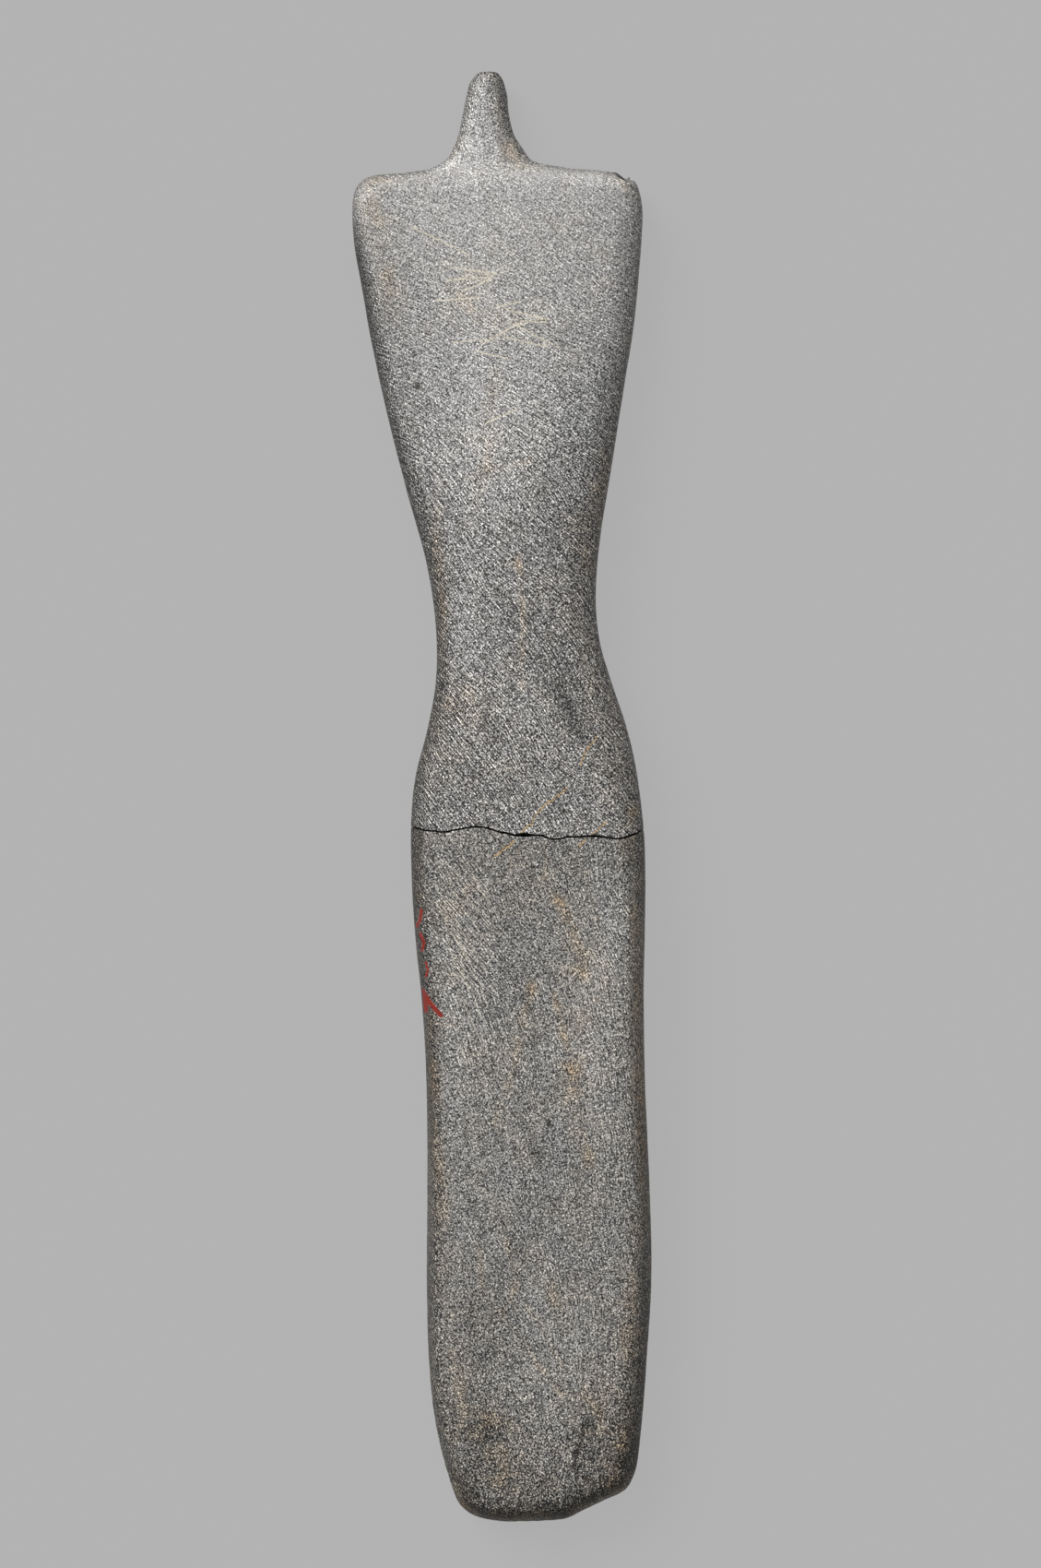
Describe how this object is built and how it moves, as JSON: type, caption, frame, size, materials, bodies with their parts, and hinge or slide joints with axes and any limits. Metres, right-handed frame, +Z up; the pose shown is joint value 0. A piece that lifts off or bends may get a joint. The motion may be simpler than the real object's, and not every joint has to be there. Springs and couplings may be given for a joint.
{
  "type": "human figurine",
  "caption": "Flat carved stone human figurine with a peg head, wide shoulders, a narrow waist and one long leg shaft, broken across the hips and put together again, lying on its back.",
  "frame": {"origin": "bottom centre of the box round the figurine, on the flat back that it lies on", "axes": "+Y towards the head, +Z up out of the front, +X to the figure's edge that is on the right in the picture"},
  "size_m": [0.044, 0.22, 0.013],
  "materials": {
    "grey_stone": "ground smooth and finely scratched, pale worn streaks",
    "dark_grey_stone": "ground smooth and finely scratched, browner and darker"
  },
  "bodies": {
    "root": {"upper_fragment": "grey_stone", "lower_fragment": "dark_grey_stone"}
  },
  "joints": []
}
